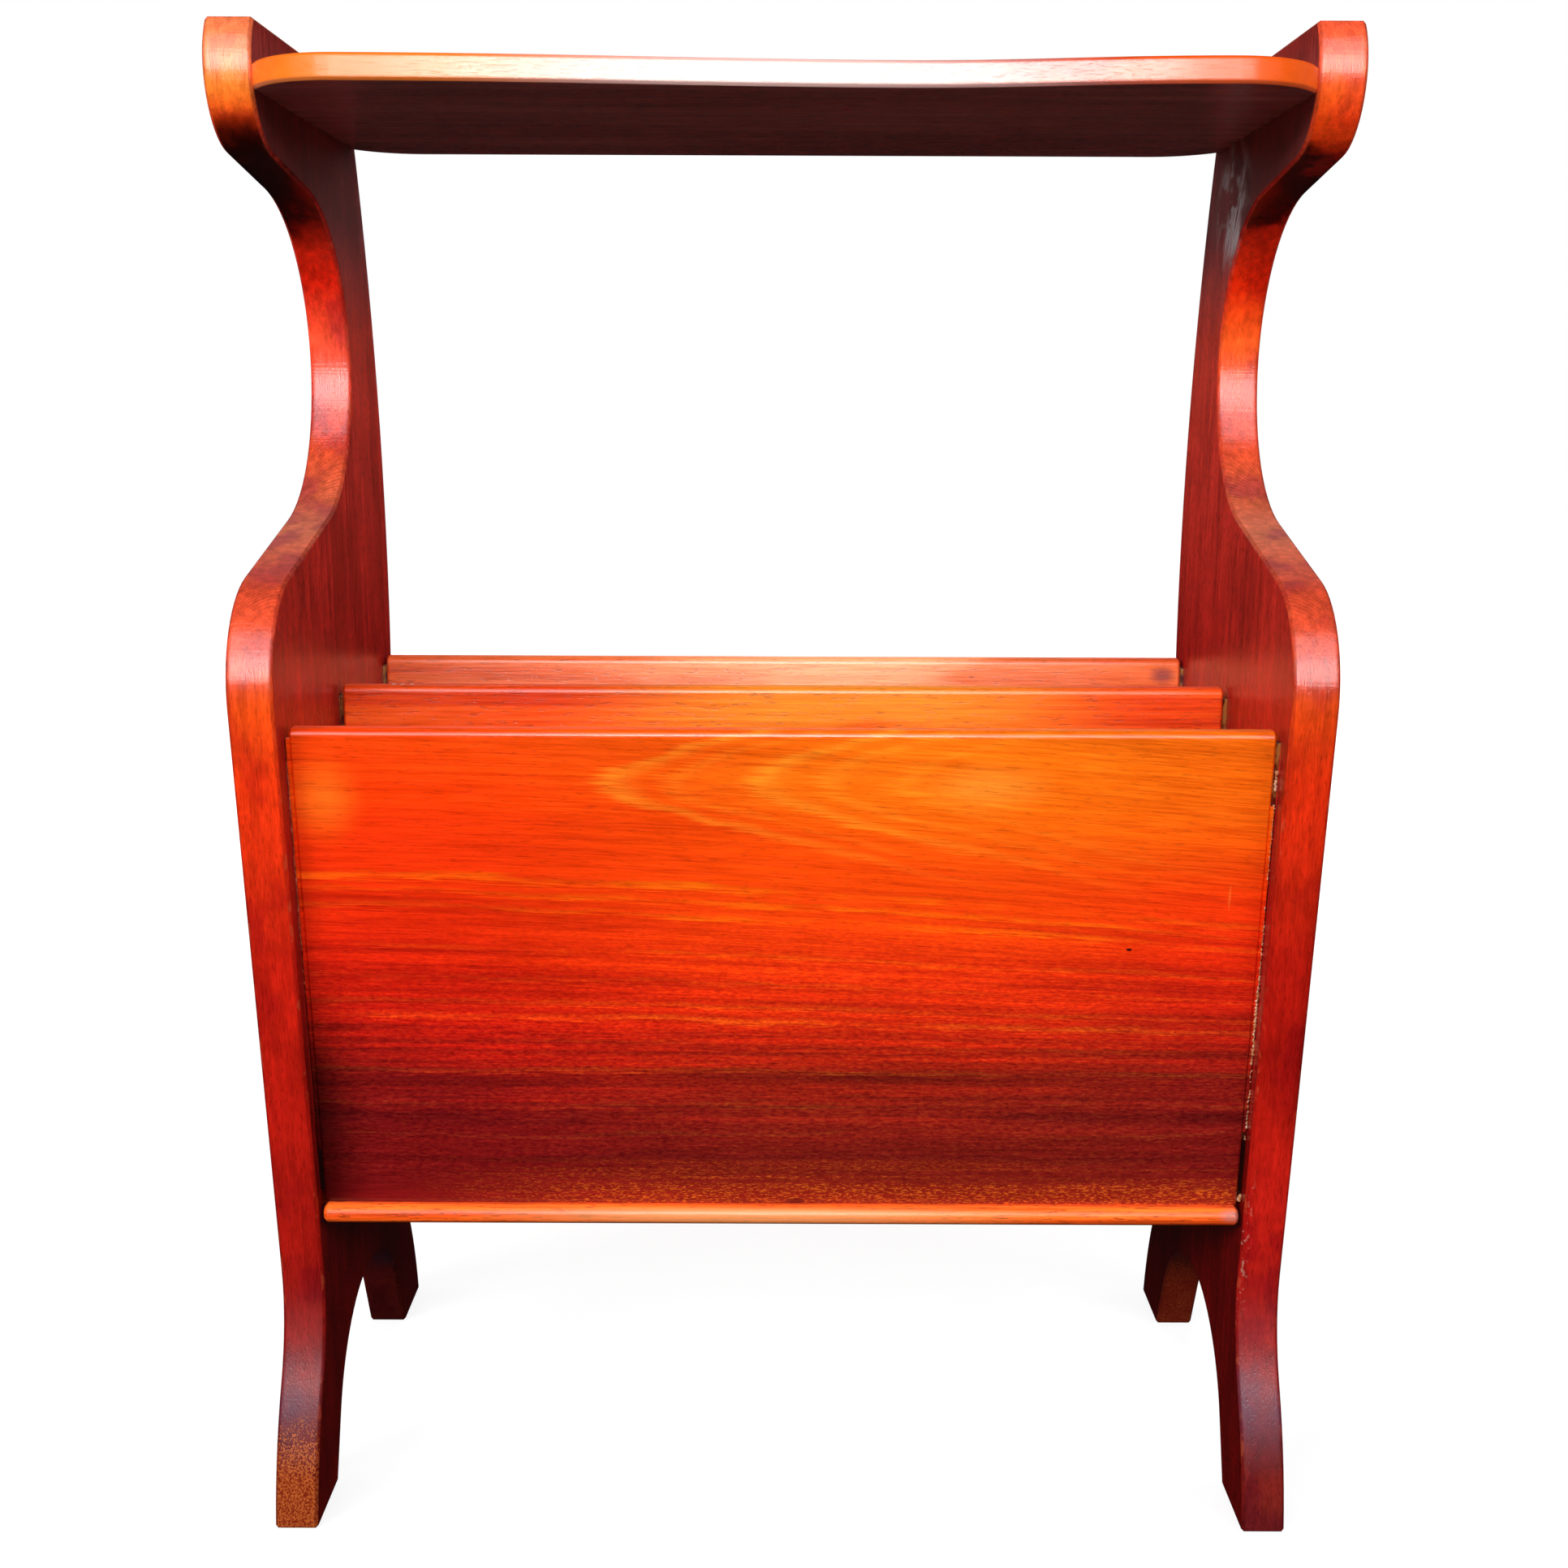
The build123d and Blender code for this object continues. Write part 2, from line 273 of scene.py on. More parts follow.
panel_low, panel_high = box_mm("front_panel")
end_high = box_mm("left_end")[1]
shelf_low = box_mm("top_shelf")[0]
inner_face = -end_high.x
board_end = inner_face - JOINT_GAP

# Marks of the front panel: pale patches in the loops and by the left edge
LOOP_PATCH = Mark((86.0, panel_low.y, 336.0), (34.0, 60.0, 13.0), (0.98, 0.32, 0.03), 0.5, 0.95)
LEFT_PATCH = Mark((-192.0, panel_low.y, 330.0), (20.0, 60.0, 24.0), (0.98, 0.18, 0.010), 0.6, 0.95)

# A dark speck, a pale scratch and a dent over the nose
PANEL_MARKS = (
    Mark((148.4, panel_low.y + 8, 264.0), (1.6, 30.0, 0.8), (0.03, 0.004, 0.004), 1.0),
    Mark((189.6, panel_low.y + 6, 288.0), (0.8, 30.0, 8.0), (0.98, 0.22, 0.03), 0.4, 0.9),
    Mark((6.0, panel_low.y + 18, 143.0), (5.0, 30.0, 2.0), (0.12, 0.004, 0.004), 0.8),
)

# A painted grey reflection, in brushed strokes, high on the inner face of the right end
GREY_REFLECTION = Mark((inner_face, 36.0, 582.0), (4.0, 36.0, 34.0), (0.84, 0.78, 0.80), 1.0, 0.6)

# Three chips on the divider's top, and a bruise on the rear panel's right corner
DIVIDER_MARKS = [
    Mark((x, 0.0, 364.0), (1.2, 2.0, 1.5), (0.85, 0.62, 0.50), 0.8) for x in (-181.0, -177.0, -172.5)
]
REAR_MARKS = [Mark((195.0, 86.0, 357.0), (9.0, 12.0, 6.0), (0.20, 0.03, 0.06), 0.7, 0.8)]

# A dent and a grey end on the nose of the bottom board, and a pale painted highlight along its middle
BOTTOM_MARKS = (
    Mark((6.0, -83.0, 143.0), (6.0, 4.0, 2.2), (0.20, 0.006, 0.005), 0.85),
    Mark((201.0, -83.0, 139.0), (8.0, 5.0, 4.0), (0.40, 0.20, 0.19), 0.6, 0.8),
)
NOSE_HIGHLIGHT = [Mark((-14.0, -84.0, 138.0), (146.0, 9.0, 9.0), (0.98, 0.38, 0.13), 0.75, 0.85)]

# The shelf's front edge: golden at the left, partly a painted highlight, orange at the right, and a pale
# painted highlight between
SHELF_EDGE_TINTS_AND_HIGHLIGHTS = (
    Mark((-150.0, shelf_low.y, shelf_low.z), (120.0, 80.0, 40.0), (0.97, 0.22, 0.015), 0.9, 0.85),
    Mark((185.0, shelf_low.y, shelf_low.z), (105.0, 80.0, 40.0), (0.97, 0.12, 0.008), 0.85, 0.85),
    Mark((0.0, shelf_low.y, shelf_low.z), (140.0, 80.0, 40.0), (0.98, 0.66, 0.60), 0.85, 0.85),
)


def panel_face(z):
    """Y of the front panel's face at a height."""
    return panel_low.y + PANEL_LEAN * (panel_high.z - z)


class Paint:
    """A procedural material. Most methods add nodes and give back the last one's output."""

    def __init__(self, name):
        self.material = bpy.data.materials.new(name)
        self.material.use_nodes = True
        self.nodes = self.material.node_tree.nodes
        self.links = self.material.node_tree.links
        self.shader = self.nodes["Principled BSDF"]
        coordinates = self.nodes.new("ShaderNodeTexCoord")
        self.place = self.vector("MULTIPLY", coordinates.outputs["Object"], [1 / MM] * 3)
        self.x, self.y, self.z = self.split(self.place)
        self.face_x, self.face_y, self.face_z = self.split(coordinates.outputs["Normal"])

    def feed(self, socket, value):
        """Links an output to a socket, or sets the socket to a constant."""
        if isinstance(value, bpy.types.NodeSocket):
            self.links.new(value, socket)
        else:
            socket.default_value = value

    def split(self, vector):
        """The three parts of a vector."""
        node = self.nodes.new("ShaderNodeSeparateXYZ")
        self.feed(node.inputs[0], vector)
        return list(node.outputs)

    def join(self, x, y, z):
        """A vector from its three parts."""
        node = self.nodes.new("ShaderNodeCombineXYZ")
        for socket, value in zip(node.inputs, (x, y, z)):
            self.feed(socket, value)
        return node.outputs[0]

    def vector(self, operation, *values):
        """One operation of vector maths."""
        node = self.nodes.new("ShaderNodeVectorMath")
        node.operation = operation
        for socket, value in zip(node.inputs, values):
            self.feed(socket, value)
        return node.outputs["Value" if operation == "LENGTH" else "Vector"]

    def math(self, operation, *values):
        """One operation of plain maths."""
        node = self.nodes.new("ShaderNodeMath")
        node.operation = operation
        for socket, value in zip(node.inputs, values):
            self.feed(socket, value)
        return node.outputs[0]

    def product(self, first, *others):
        """All the given values multiplied."""
        for other in others:
            first = self.math("MULTIPLY", first, other)
        return first

    def noise(self, per_mm, seed=0.0, detail=3.0, distortion=0.0, place=None):
        """Noise from 0 to 1, with its frequency per millimetre along each axis."""
        node = self.nodes.new("ShaderNodeTexNoise")
        where = self.vector("MULTIPLY_ADD", place or self.place, per_mm, [seed] * 3)
        self.feed(node.inputs["Vector"], where)
        node.inputs["Scale"].default_value = 1.0
        node.inputs["Detail"].default_value = detail
        node.inputs["Distortion"].default_value = distortion
        return node.outputs["Fac"]

    def between(self, value, low, high):
        """Smooth step from 0 at the low value to 1 at the high one."""
        node = self.nodes.new("ShaderNodeMapRange")
        node.interpolation_type = "SMOOTHSTEP"
        for name, given in (("Value", value), ("From Min", low), ("From Max", high)):
            self.feed(node.inputs[name], given)
        return node.outputs["Result"]

    def band(self, value, start, full_from, full_to, end):
        """1 between the middle two of four values, fading to 0 at the outer two."""
        return self.product(self.between(value, start, full_from), self.between(value, end, full_to))

    def swing(self, value, low, high):
        """A value from 0 to 1 turned into a factor between two limits."""
        node = self.nodes.new("ShaderNodeMapRange")
        for name, given in (("Value", value), ("To Min", low), ("To Max", high)):
            self.feed(node.inputs[name], given)
        return node.outputs["Result"]

    def shifted(self, value, figure, reach):
        """A value moved up and down, by the reach at most, by a figure from 0 to 1."""
        return self.math("ADD", value, self.swing(figure, -reach, reach))

    def ramp(self, value, low, high, stops):
        """Colours at given places between two limits of a value."""
        node = self.nodes.new("ShaderNodeValToRGB")
        elements = node.color_ramp.elements
        while len(elements) < len(stops):
            elements.new(1.0)
        for element, (place, colour) in zip(elements, stops):
            element.position = (place - low) / (high - low)
            element.color = (*colour, 1.0)
        share = self.math("DIVIDE", self.math("SUBTRACT", value, low), high - low)
        self.feed(node.inputs["Fac"], share)
        return node.outputs["Color"]

    def blend(self, factor, first, second, mode="MIX"):
        """Two colours mixed, or put together in another mode."""
        node = self.nodes.new("ShaderNodeMix")
        node.data_type = "RGBA"
        node.blend_type = mode
        for socket, value in ((node.inputs[0], factor), (node.inputs[6], first), (node.inputs[7], second)):
            self.feed(socket, (*value, 1.0) if isinstance(value, tuple) else value)
        return node.outputs[2]

    def tinted(self, factor, colour, tint):
        """A colour multiplied by a tint, as far as the factor says."""
        return self.blend(factor, colour, self.blend(1.0, colour, tint, "MULTIPLY"))

    def shade(self, colour, factor):
        """A colour made lighter or darker by a factor."""
        node = self.nodes.new("ShaderNodeVectorMath")
        node.operation = "SCALE"
        self.feed(node.inputs[0], colour)
        self.feed(node.inputs["Scale"], factor)
        return node.outputs["Vector"]

    def spot(self, mark):
        """1 inside a mark and 0 outside it, with a soft rim."""
        away = self.vector("SUBTRACT", self.place, mark.centre)
        scaled = self.vector("DIVIDE", away, mark.radii)
        return self.between(self.vector("LENGTH", scaled), 1.0, 1.0 - mark.soft)

    def mark(self, colour, mark):
        """A colour with a mark blended in."""
        return self.blend(self.product(self.spot(mark), mark.strength), colour, mark.tint)

    def finish(self, colour, roughness, height, relief_mm, specular=0.5, rounded_mm=1.2, levelled=None):
        """Sends the results to the shader. The relief is the depth of the bump's full range, the arrises are
        shaded as if they were rounded, and faces that look straight up are duller, from dust and use.
        Where the varnish is levelled, its surface leans less than the wood under it.
        """
        arrises = self.nodes.new("ShaderNodeBevel")
        arrises.samples = 4
        arrises.inputs["Radius"].default_value = rounded_mm * MM
        bump = self.nodes.new("ShaderNodeBump")
        bump.inputs["Strength"].default_value = 1.0
        bump.inputs["Distance"].default_value = relief_mm * MM
        self.feed(bump.inputs["Height"], height)
        normal = arrises.outputs["Normal"]
        if levelled is not None:
            flatter = self.join(1.0, 1.0, self.swing(levelled, 1.0, LEVELLED_SLOPE))
            normal = self.vector("NORMALIZE", self.vector("MULTIPLY", normal, flatter))
        self.feed(bump.inputs["Normal"], normal)
        dull = self.product(self.between(self.face_z, DUSTY_FROM, DUSTY_FULL), DUST_ROUGHNESS)
        self.feed(self.shader.inputs["Base Color"], colour)
        self.feed(self.shader.inputs["Roughness"], self.math("ADD", roughness, dull))
        self.feed(self.shader.inputs["Normal"], bump.outputs["Normal"])
        self.shader.inputs["Specular IOR Level"].default_value = specular
        return self.material


class Grain:
    """The figure of a board of mahogany, as values from 0 to 1, with its grain along one axis."""

    def __init__(self, paint, along, seed, place=None):
        def figure(slow, fast, offset, low, high, **details):
            per_mm = [slow if axis == along else fast for axis in range(3)]
            return paint.between(paint.noise(per_mm, seed + offset, place=place, **details), low, high)

        self.fibres = figure(0.05, 1.5, 0, 0.28, 0.72, detail=4.0)
        self.lines = figure(0.0035, 0.33, 29, 0.3, 0.7, detail=5.0)
        self.streaks = figure(0.005, 0.10, 7, 0.25, 0.75, detail=4.0)
        self.clouds = figure(0.006, 0.02, 3, 0.25, 0.75)
        self.pores = figure(0.16, 1.5, 13, 0.58, 0.67, detail=2.0)

    def tone(self, paint, fibre=0.14, line=0.14, streak=0.14, cloud=0.1, pore=0.32):
        """Brightness of the wood about 1, from all the parts of its figure."""
        return paint.product(
            paint.swing(self.fibres, 1 - fibre, 1 + fibre),
            paint.swing(self.lines, 1 - line, 1 + line),
            paint.swing(self.streaks, 1 - streak, 1 + streak),
            paint.swing(self.clouds, 1 - cloud, 1 + cloud),
            paint.swing(self.pores, 1.0, 1 - pore),
        )

    def height(self, paint):
        """Height of the varnished surface: fine fibres with sunken pores."""
        return paint.math("SUBTRACT", paint.product(self.fibres, 0.4), paint.product(self.pores, 0.6))


def paint_joints(paint, colour, raw_from):
    """Open joints at both ends of a board, painted dark as shade, with red stain higher up and raw golden
    wood in them above a given height.
    """
    joint = paint.between(paint.math("ABSOLUTE", paint.x), board_end, board_end + 0.3)
    raw = paint.between(paint.noise((0.3, 0.9, 0.12), 83.0), 0.42, 0.58)
    raw = paint.product(raw, paint.between(paint.z, raw_from - 4.0, raw_from + 4.0))
    # Painted shade inside the gap: near black low down, red stain and painted shade higher up
    stained = paint.product(paint.between(paint.z, 170.0, 180.0), 0.8)
    inside = paint.blend(stained, SHADED_OPEN_JOINT, STAINED_AND_SHADED_JOINT)
    return paint.blend(joint, colour, paint.blend(raw, inside, RAW_WOOD))


class PanelPaint(Paint):
    """The front panel: amber loops at the top, vermilion below, and a dark mottled foot with gold flecks."""

    def __init__(self, name):
        super().__init__(name)
        half = panel_high.x
        along = self.math("DIVIDE", self.math("ADD", self.x, half), 2 * half)
        drop = self.product(self.math("POWER", along, DROP_POWER), GROWTH_DROP)
        drop = self.product(drop, self.between(self.z, 190.0, 280.0))
        self.growth = self.math("ADD", self.z, drop)
        self.bent = self.join(self.x, self.y, self.growth)
        self.grain = Grain(self, ALONG_X, 1.0, self.bent)
        self.wander = self.noise((0.012, 0.012, 0.03), 5.0)
        self.left = self.between(self.x, 20.0, -150.0)

    def ground(self):
        """Colours by height, the dark foot (partly painted shade) rising at both sides, and redder towards
        the sides.
        """
        half = panel_high.x
        side = self.between(self.math("ABSOLUTE", self.x), 0.3 * half, 0.95 * half)
        level = self.math("SUBTRACT", self.z, self.product(side, FOOT_RISE))
        level = self.shifted(level, self.wander, 9.0)
        level = self.shifted(level, self.grain.streaks, 7.0)
        level = self.shifted(level, self.grain.lines, 7.0)
        level = self.shifted(level, self.grain.fibres, 4.0)
        colour = self.ramp(level, 140.0, 360.0, PANEL_COLOURS)
        right = self.between(self.x, 120.0, 200.0)
        redder = self.math("ADD", self.product(self.left, 0.66), self.product(right, 0.36))
        return self.tinted(redder, colour, PANEL_REDDER)

    def add_loops(self, colour):
        """Nested loops of paler wood, as level sets that open to the right."""
        fibres = self.grain.fibres
        rise = self.math("SUBTRACT", self.z, LOOP_AXIS)
        rounded = self.math("SQRT", self.math("ADD", self.product(rise, rise), LOOP_ROUNDNESS ** 2))
        reach = self.product(self.math("SUBTRACT", rounded, LOOP_ROUNDNESS), LOOP_STRETCH)
        loops = self.math("SUBTRACT", self.x, reach)
        loops = self.shifted(loops, self.noise((0.03, 0.03, 0.09), 9.0), 14.0)
        loops = self.shifted(loops, fibres, 2.5)
        upper = self.between(self.z, 282.0, 335.0)
        amber = self.product(self.between(loops, -85.0, 30.0), upper, self.swing(fibres, 0.4, 0.65))
        colour = self.blend(amber, colour, AMBER)
        for apex, fade, strength in GROWTH_LOOPS:
            rim = self.band(loops, apex - LOOP_RISE, apex, apex, apex + fade)
            rim = self.product(rim, upper, self.swing(fibres, 0.45 * strength, 0.95 * strength))
            colour = self.blend(rim, colour, PALE_AMBER)
        return self.mark(colour, LOOP_PATCH)

    def add_streaks(self, colour):
        """Pale and dark streaks along the growth lines, a paler patch at the left and deeper red below it."""
        line = self.shifted(self.growth, self.wander, 5.0)
        line = self.shifted(line, self.grain.fibres, 1.2)
        for streaks, per_mm, broken_at, whole_at, tint in STREAK_KINDS:
            for height, width, strength in streaks:
                off = self.math("ABSOLUTE", self.math("SUBTRACT", line, height))
                broken = self.between(self.noise((per_mm, 0.02, 0.02), height), broken_at, whole_at)
                streak = self.product(self.between(off, width, 0.0), broken, strength)
                colour = self.tinted(streak, colour, tint)
        colour = self.mark(colour, LEFT_PATCH)
        deeper = self.product(self.left, self.band(self.z, *DEEP_RED_ZONE))
        return self.shade(colour, self.swing(deeper, 1.0, 0.80))

    def add_mottle(self, colour):
        """Fish-scale mottle of the interlocked grain, then gold flecks along the foot."""
        mottled = self.band(self.z, *MOTTLED_ZONE)
        scales = self.noise((0.36, 0.36, 0.95), 19.0, 2.0, 0.5, self.bent)
        bright = self.product(mottled, self.between(scales, 0.51, 0.68))
        dark = self.product(mottled, self.between(scales, 0.49, 0.34))
        colour = self.tinted(bright, colour, BRIGHT_SCALES)
        colour = self.tinted(dark, colour, DARK_SCALES)
        ragged_foot = self.shifted(self.z, self.grain.lines, 6.0)
        flecked = self.product(self.between(ragged_foot, 163.0, 147.0), self.between(self.x, -185.0, -40.0))
        colour = self.blend(self.product(flecked, 0.6), colour, FLECKED_GROUND)
        flecks = self.between(self.noise((0.5, 0.5, 2.0), 27.0, 2.0, 0.6), 0.50, 0.66)
        return self.blend(self.product(flecks, flecked, 0.75), colour, GOLD_FLECKS)

    def add_marks(self, colour):
        """Small marks, and painted shade in the lower left corner beside the end."""
        for mark in PANEL_MARKS:
            colour = self.mark(colour, mark)
        # Painted shade in the lower left corner, beside the end
        corner_shade = self.product(self.between(self.x, -178.0, -203.0), self.between(self.z, 270.0, 190.0))
        return self.shade(colour, self.swing(corner_shade, 1.0, 0.3))


def paint_front_panel(name, filler=False):
    """The front panel with its open joints, or their filler: the same colours, and a painted shadow line by
    the end.
    """
    paint = PanelPaint(name)
    grain = paint.grain
    colour = paint.add_loops(paint.ground())
    colour = paint.add_mottle(paint.add_streaks(colour))
    colour = paint.shade(colour, grain.tone(paint, line=0.12, streak=0.10, pore=0.2))
    colour = paint.add_marks(colour)
    if filler:
        # A painted shadow line along the joint beside the end
        beside = paint.between(paint.math("ABSOLUTE", paint.x), inner_face - 0.9, inner_face - 0.4)
        colour = paint.blend(paint.product(beside, 0.85), colour, FILLER_SHADOW_LINE)
    else:
        colour = paint_joints(paint, colour, PANEL_RAW_FROM)
    roughness = paint.swing(grain.fibres, 0.14, 0.22)
    return paint.finish(colour, roughness, grain.height(paint), relief_mm=0.02, specular=0.55, rounded_mm=0.6)


def paint_board(name, seed, colours, amber=None, roughness=0.22, specular=0.5, underside=1.0, greyed=None,
                jointed=False, depth=1.0, marks=(), edge_tints_and_highlights=()):
    """A plain board of the trough, the bottom or the shelf, with its grain along X. Its three colours go from
    dark to light, the depth is that of its figure, and edge tints, painted highlights among them, show only
    on faces that stand upright.
    """
    paint = Paint(name)
    grain = Grain(paint, ALONG_X, seed)
    arch = paint.noise((0.004, 0.02, 0.03), seed + 31, detail=2.0)
    figure = paint.math("ADD", paint.product(grain.streaks, 0.3), paint.product(grain.lines, 0.2))
    figure = paint.math("ADD", figure, paint.product(arch, 0.5))
    colour = paint.ramp(figure, FIGURE_STEPS[0], FIGURE_STEPS[-1], list(zip(FIGURE_STEPS, colours)))
    # Painted highlight: paler amber in the middle of the board's top
    if amber:
        central_highlight = paint.between(paint.math("ABSOLUTE", paint.math("SUBTRACT", paint.x, 30.0)), 150.0, 20.0)
        central_highlight = paint.product(central_highlight, paint.between(paint.z, 300.0, 345.0))
        central_highlight = paint.product(central_highlight, paint.between(paint.face_y, 0.6, 0.1))
        colour = paint.blend(paint.product(central_highlight, paint.between(grain.clouds, 0.0, 0.5)), colour, amber)
    colour = paint.tinted(paint.between(paint.face_y, 0.3, 0.7), colour, BACK_TINT)
    # Painted shade on faces that look down
    below = paint.between(paint.face_z, -0.4, -0.8)
    colour = paint.shade(colour, paint.swing(below, 1.0, underside))
    if greyed:
        colour = paint.blend(paint.product(below, paint.swing(grain.clouds, 0.65, 0.95)), colour, greyed)
    upright = paint.between(paint.math("ABSOLUTE", paint.face_z), 0.95, 0.7)
    tone = grain.tone(paint, 0.14 * depth, 0.14 * depth, 0.14 * depth, 0.1, 0.32 * depth)
    colour = paint.shade(colour, tone)
    for edge in edge_tints_and_highlights:
        share = paint.product(paint.spot(edge), upright, edge.strength)
        colour = paint.blend(share, colour, edge.tint)
    for mark in marks:
        colour = paint.mark(colour, mark)
    if jointed:
        colour = paint_joints(paint, colour, panel_low.z)
    gloss = paint.swing(grain.fibres, roughness - 0.05, roughness + 0.05)
    return paint.finish(colour, gloss, grain.height(paint), relief_mm=0.03, specular=specular)


def paint_divider():
    """The divider between the pockets: vermilion, with a painted amber highlight in the middle of its top."""
    colours = ((0.70, 0.035, 0.006), (0.90, 0.070, 0.007), (0.95, 0.12, 0.012))
    return paint_board("divider_wood", 101.0, colours, (0.97, 0.28, 0.02), jointed=True, marks=DIVIDER_MARKS)


def paint_rear_panel():
    """The back of the trough, the palest board of the three, with a pale painted highlight in the middle of
    its top.
    """
    colours = ((0.92, 0.09, 0.015), (0.97, 0.14, 0.030), (0.98, 0.20, 0.05))
    return paint_board("rear_panel_wood", 151.0, colours, (0.98, 0.40, 0.18), jointed=True, marks=REAR_MARKS)


def paint_bottom():
    """The bottom board: strongly figured on its nose, with a pale painted highlight along its middle, and
    painted shade beneath.
    """
    colours = ((0.78, 0.06, 0.006), (0.93, 0.10, 0.009), (0.97, 0.16, 0.015))
    return paint_board(
        "bottom_wood", 201.0, colours, roughness=0.26, specular=0.28, underside=0.4, depth=1.7,
        marks=BOTTOM_MARKS, edge_tints_and_highlights=NOSE_HIGHLIGHT,
    )


def paint_shelf():
    """The shelf: a glossy front edge with painted highlights, and a greyed underside darkened by painted
    shade.
    """
    colours = ((0.62, 0.040, 0.008), (0.84, 0.075, 0.010), (0.92, 0.12, 0.015))
    return paint_board(
        "shelf_wood", 251.0, colours, specular=0.7, underside=0.34, greyed=(0.46, 0.240, 0.250),
        edge_tints_and_highlights=SHELF_EDGE_TINTS_AND_HIGHLIGHTS,
    )


class EndPaint(Paint):
    """A scroll-cut end: deep red faces with the grain upright, brighter cut edges, and wear, painted sheen
    and painted shade at the feet.
    """

    def __init__(self, name, look):
        super().__init__(name)
        self.look = look
        self.grain = Grain(self, UPRIGHT, look.seed)
        self.flat = self.math("ABSOLUTE", self.face_x)
        self.edge = self.between(self.flat, 0.9, 0.6)
        self.front = self.product(self.edge, self.between(self.y, -40.0, -70.0))
        self.sawn = self.between(self.z, 360.0, 400.0)
        self.blotches = self.between(self.own_noise((0.04, 0.04, 0.03), 61), 0.3, 0.7)
        self.speckle = self.between(self.own_noise((1.3, 1.3, 1.0), 53, detail=4.0), 0.38, 0.64)

    def own_noise(self, per_mm, offset, **details):
        """Noise that differs from one end to the other."""
        return self.noise(per_mm, self.look.seed + offset, **details)

    def faces(self):
        """Broad faces with fine dark pores, painted darker at the feet and beside the shelf as shade."""
        colour = self.ramp(self.z, 0.0, end_high.z, END_FACE_COLOURS)
        colour = self.shade(colour, self.grain.tone(self, fibre=0.32, line=0.18, streak=0.14, pore=0.5))
        flecks = self.between(self.own_noise((1.8, 1.8, 0.3), 59, detail=2.0), 0.56, 0.66)
        patchy = self.product(self.swing(flecks, 1.0, 0.45), self.swing(self.blotches, 0.86, 1.14))
        colour = self.shade(colour, patchy)

        # Painted light: a brighter red band on the face in the narrow, shaded joint beside the front panel
        front_of_panel = self.math("MULTIPLY_ADD", self.z, -PANEL_LEAN, panel_face(0.0))
        behind = self.math("SUBTRACT", self.y, front_of_panel)
        painted_light_band = self.product(self.band(behind, -1.0, 0.5, 10.0, 14.0), self.band(self.z, *JOINT_LIGHT_ZONE))
        inside = self.between(self.math("ABSOLUTE", self.x), inner_face + 1.0, inner_face)
        return self.blend(self.product(painted_light_band, inside), colour, JOINT_PAINTED_LIGHT)

    def edges(self):
        """Cut edges: coloured by height in front, partly a painted highlight near the scroll's top, plainer
        behind and on top, with purple blotches.
        """
        colour = self.ramp(self.z, 0.0, end_high.z, END_CUT_COLOURS)
        colour = self.tinted(self.between(self.z, 594.0, 610.0), colour, self.look.scroll_tint)
        for zone, tint in self.look.zone_tints:
            colour = self.tinted(self.band(self.z, *zone), colour, tint)
        low_down = self.between(self.z, 190.0, 130.0)
        colour = self.shade(colour, self.swing(low_down, 1.0, self.look.ankle_light))
        plain = self.ramp(self.z, 0.0, end_high.z, END_BACK_COLOURS)
        colour = self.blend(self.between(self.face_y, 0.15, 0.45), colour, plain)
        capped = self.product(self.between(self.face_z, 0.9, 0.98), self.between(self.z, 630.0, 636.0))
        colour = self.blend(capped, colour, END_TOP)
        colour = self.shade(colour, self.edge_tone())
        purple = self.product(self.between(self.blotches, 0.45, 0.1), 0.6)
        return self.tinted(purple, colour, PURPLE_STAIN)

    def edge_tone(self):
        """Brightness of the cut edges: patchy, ringed on the shoulders, and painted shade where they face
        down.
        """
        mottles = self.between(self.own_noise((0.30, 0.30, 0.22), 71), 0.35, 0.65)
        # Painted shade on the upper edges that face down, under the scroll and the shoulders
        patchy = self.shifted(self.face_z, self.blotches, 0.12)
        below = self.between(patchy, self.look.stain_from, -0.95)
        below = self.product(below, self.between(self.z, 300.0, 400.0))
        above = self.product(self.between(self.face_z, 0.45, 0.8), self.between(self.z, 400.0, 415.0))
        across = self.math("SUBTRACT", self.math("ABSOLUTE", self.x), inner_face)
        ring_place = self.math("ADD", self.y, self.product(across, across, 0.035))
        ring_place = self.shifted(ring_place, self.grain.clouds, 1.0)
        rings = self.product(self.math("SINE", self.product(ring_place, 2 * pi / RING_WIDTH)), above, 0.16)
        darkest_blotch = self.swing(self.between(self.z, 590.0, 604.0), 0.78, 0.98)
        return self.product(
            self.swing(self.blotches, darkest_blotch, 1.2),
            self.swing(self.product(mottles, self.swing(self.sawn, 0.35, 1.0)), 0.9, 1.14),
            self.swing(self.product(self.grain.pores, self.swing(self.sawn, 1.0, 0.35)), 1.0, 0.74),
            self.swing(self.grain.fibres, 0.88, 1.12),
            self.swing(self.grain.lines, 0.86, 1.14),
            self.math("ADD", rings, 1.0),
            self.swing(below, 1.0, self.look.stain_light),
        )

    def rub_arrises(self, colour):
        """Arrises rubbed through to paler wood in places."""
        arris = self.band(self.flat, 0.45, 0.65, 0.78, 0.95)
        rubbed = self.between(self.own_noise((0.2, 0.2, 0.12), 41), 0.55, 0.66)
        return self.blend(self.product(arris, rubbed, 0.25), colour, RUBBED_WOOD)

